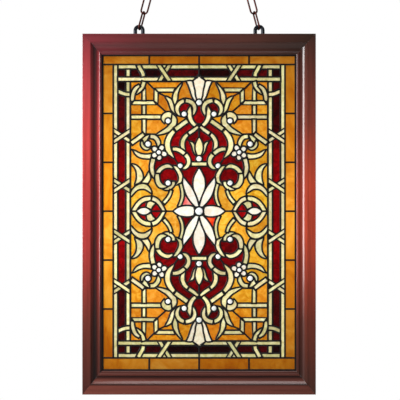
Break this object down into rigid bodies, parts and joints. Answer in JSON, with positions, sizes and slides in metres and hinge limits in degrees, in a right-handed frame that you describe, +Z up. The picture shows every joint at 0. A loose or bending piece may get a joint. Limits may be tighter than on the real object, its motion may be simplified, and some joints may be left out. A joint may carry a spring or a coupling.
{
  "type": "leaded glass window panel",
  "caption": "Leaded coloured glass window panel with a pattern of straps, scrolls and a rosette, in a moulded reddish wooden frame hung by two short chains.",
  "frame": {"origin": "midway between the undersides of the upper bends of the two hooks, where the panel hangs", "axes": "X to the right seen from the front, Y from the front to the back, Z up"},
  "size_m": [0.524, 0.0255, 0.9581],
  "materials": {
    "reddish_wood": "satin lacquer, worn to a warmer red at the left",
    "amber_glass": "streaky opalescent",
    "ruby_glass": "deep, smooth",
    "cream_glass": "opalescent",
    "white_glass": "opalescent",
    "dark_lead": "dark patina",
    "dark_bronze": "dark reddish bronze",
    "black_steel": "gloss black"
  },
  "bodies": {
    "root": {"almond_left": "white_glass", "almond_right": "white_glass", "band_glass_left": "ruby_glass", "band_glass_lower": "ruby_glass", "band_glass_right": "ruby_glass", "band_glass_upper": "ruby_glass", "border_tile_01": "amber_glass", "border_tile_02": "amber_glass", "border_tile_03": "amber_glass", "border_tile_04": "amber_glass", "border_tile_05": "amber_glass", "border_tile_06": "amber_glass", "border_tile_07": "amber_glass", "border_tile_08": "amber_glass", "border_tile_09": "amber_glass", "border_tile_10": "amber_glass", "border_tile_11": "amber_glass", "border_tile_12": "amber_glass", "border_tile_13": "amber_glass", "border_tile_14": "amber_glass", "border_tile_15": "amber_glass", "border_tile_16": "amber_glass", "border_tile_17": "amber_glass", "border_tile_18": "amber_glass", "border_tile_19": "amber_glass", "border_tile_20": "amber_glass", "chain_link_left_1": "dark_bronze", "chain_link_left_2": "dark_bronze", "chain_link_left_3": "dark_bronze", "chain_link_right_1": "dark_bronze", "chain_link_right_2": "dark_bronze", "chain_link_right_3": "dark_bronze", "eyelet_left": "black_steel", "eyelet_right": "black_steel", "field_glass": "cream_glass", "frame_bottom": "reddish_wood", "frame_left": "reddish_wood", "frame_right": "reddish_wood", "frame_top": "reddish_wood", "hook_left": "dark_bronze", "hook_right": "dark_bronze", "leading_back": "dark_lead", "leading_front": "dark_lead", "rosette_gem": "white_glass", "rosette_petal_left": "white_glass", "rosette_petal_lower": "white_glass", "rosette_petal_lower_left": "white_glass", "rosette_petal_lower_right": "white_glass", "rosette_petal_right": "white_glass", "rosette_petal_upper": "white_glass", "rosette_petal_upper_left": "white_glass", "rosette_petal_upper_right": "white_glass", "tulip_petal_lower": "white_glass", "tulip_petal_upper": "white_glass", "tulip_side_lower_left": "white_glass", "tulip_side_lower_right": "white_glass", "tulip_side_upper_left": "white_glass", "tulip_side_upper_right": "white_glass"}
  },
  "joints": []
}
